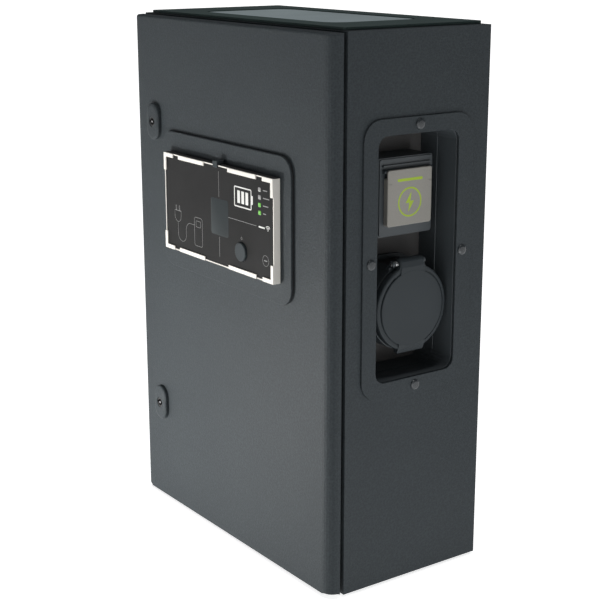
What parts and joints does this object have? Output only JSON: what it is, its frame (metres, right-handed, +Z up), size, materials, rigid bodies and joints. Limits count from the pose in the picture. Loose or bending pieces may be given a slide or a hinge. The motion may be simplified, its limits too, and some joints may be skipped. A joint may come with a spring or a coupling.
{
  "type": "ev charging post",
  "caption": "Steel ev charging cabinet with hinged front door, control panel, and a side recess holding a flapped domestic socket and a lidded Type 2 charging socket.",
  "frame": {"origin": "centre of the case's plan, on the underside of the bottom gland plate that the cabinet stands on", "axes": "+Z up, -Y to the front where the door is, +X to the side with the outlets"},
  "size_m": [0.4046, 0.2217, 0.6068],
  "materials": {
    "grey_paint": "fine-textured powder coat, matt anthracite grey",
    "gasket_green": "matt sealing frame, dark green-grey",
    "gland_plate": "fine-textured mid grey paint",
    "zinc": "zinc-plated steel",
    "steel": "plain steel",
    "brass": "brass terminals",
    "black_plastic": "moulded or coated black",
    "recess_plastic": "moulded dark grey plastic",
    "outlet_plate": "dark brown-grey sheet",
    "lid_plastic": "satin moulded grey plastic",
    "flap_plastic": "satin light grey plastic",
    "device_grey": "device housing grey",
    "device_white": "device housing off-white",
    "controller_green": "device housing green",
    "tray_cream": "satin cream plastic",
    "panel_black": "semi-gloss dark front film",
    "button_grey": "satin blue-grey plastic",
    "circuit": "green circuit board",
    "seal_black": "soft black seal"
  },
  "bodies": {
    "root": {"cabinet_shell": "grey_paint", "bottom_gasket_frame": "gasket_green", "top_gasket_frame": "gasket_green", "top_gland_plate": "gland_plate", "bottom_gland_plate": "gland_plate", "supply_gland_body": "black_plastic", "supply_gland_nut": "black_plastic", "mounting_plate": "zinc", "plate_standoff_1": "zinc", "plate_standoff_2": "zinc", "plate_standoff_3": "zinc", "plate_standoff_4": "zinc", "lower_din_rail": "zinc", "upper_din_rail": "zinc", "residual_current_breaker": "device_white", "contactor": "device_grey", "power_supply": "device_grey", "charge_controller": "controller_green", "terminal_block": "device_grey", "earth_bar": "brass", "hinge_case_leaf_lower": "zinc", "hinge_case_leaf_upper": "zinc", "hinge_pin_lower": "zinc", "hinge_pin_upper": "zinc", "socket_well": "recess_plastic", "recess_trim_plate": "grey_paint", "trim_plug_top": "lid_plastic", "trim_plug_bottom": "lid_plastic", "trim_plug_front": "lid_plastic", "trim_plug_rear": "lid_plastic", "outlet_mounting_plate": "outlet_plate", "domestic_socket_frame": "recess_plastic", "domestic_socket_insert": "recess_plastic", "flap_hinge_pin": "steel", "type2_socket_body": "recess_plastic", "type2_contact_carrier": "black_plastic", "type2_terminal_cover": "black_plastic", "lid_hinge_pin": "steel", "plug_lock_actuator": "black_plastic"},
    "door": {"door_panel": "grey_paint", "door_seal": "seal_black", "hinge_door_leaf_lower": "zinc", "hinge_door_leaf_upper": "zinc", "lock_cap_lower": "grey_paint", "lock_cap_upper": "grey_paint", "bezel_gasket": "seal_black", "display_bezel": "grey_paint", "display_tray": "tray_cream", "display_panel": "panel_black", "display_board": "circuit", "display_clip": "grey_paint"},
    "lock_lower": {"lock_barrel_lower": "black_plastic", "lock_cam_lower": "steel"},
    "lock_upper": {"lock_barrel_upper": "black_plastic", "lock_cam_upper": "steel"},
    "start_button": {"start_button": "button_grey"},
    "domestic_flap": {"domestic_flap": "flap_plastic"},
    "type2_lid": {"type2_lid": "lid_plastic"},
    "plug_lock_pin": {"plug_lock_pin": "steel"},
    "breaker_toggle": {"breaker_toggle": "black_plastic"}
  },
  "joints": [
    {"name": "door_hinge", "type": "hinge", "parent": "root", "child": "door", "pos_m": [0.1949, -0.0999, 0.3034], "axis": [0, 0, 1], "range_deg": [0, 115]},
    {"name": "lock_lower_turn", "type": "hinge", "parent": "door", "child": "lock_lower", "pos_m": [-0.1504, -0.11275, 0.1287], "axis": [0, 1, 0], "range_deg": [0, 90]},
    {"name": "lock_upper_turn", "type": "hinge", "parent": "door", "child": "lock_upper", "pos_m": [-0.1504, -0.11275, 0.4797], "axis": [0, 1, 0], "range_deg": [0, 90]},
    {"name": "start_button_press", "type": "slide", "parent": "door", "child": "start_button", "axis": [0, 1, 0], "range_m": [0, 0.0015], "stiffness_N_per_m": 400, "springref_m": -0.001},
    {"name": "domestic_flap_hinge", "type": "hinge", "parent": "root", "child": "domestic_flap", "pos_m": [0.1812, 0.0003, 0.4565], "axis": [0, -1, 0], "range_deg": [0, 100], "stiffness_Nm_per_rad": 0.01, "springref_deg": -22.92},
    {"name": "type2_lid_hinge", "type": "hinge", "parent": "root", "child": "type2_lid", "pos_m": [0.1865, 0.0003, 0.3583], "axis": [0, -1, 0], "range_deg": [0, 100], "stiffness_Nm_per_rad": 0.03, "springref_deg": -22.92},
    {"name": "plug_lock_slide", "type": "slide", "parent": "root", "child": "plug_lock_pin", "axis": [0, 0, -1], "range_m": [0, 0.006]},
    {"name": "breaker_toggle_turn", "type": "hinge", "parent": "root", "child": "breaker_toggle", "pos_m": [-0.104, 0.0209, 0.4284], "axis": [1, 0, 0], "range_deg": [0, 70]}
  ]
}
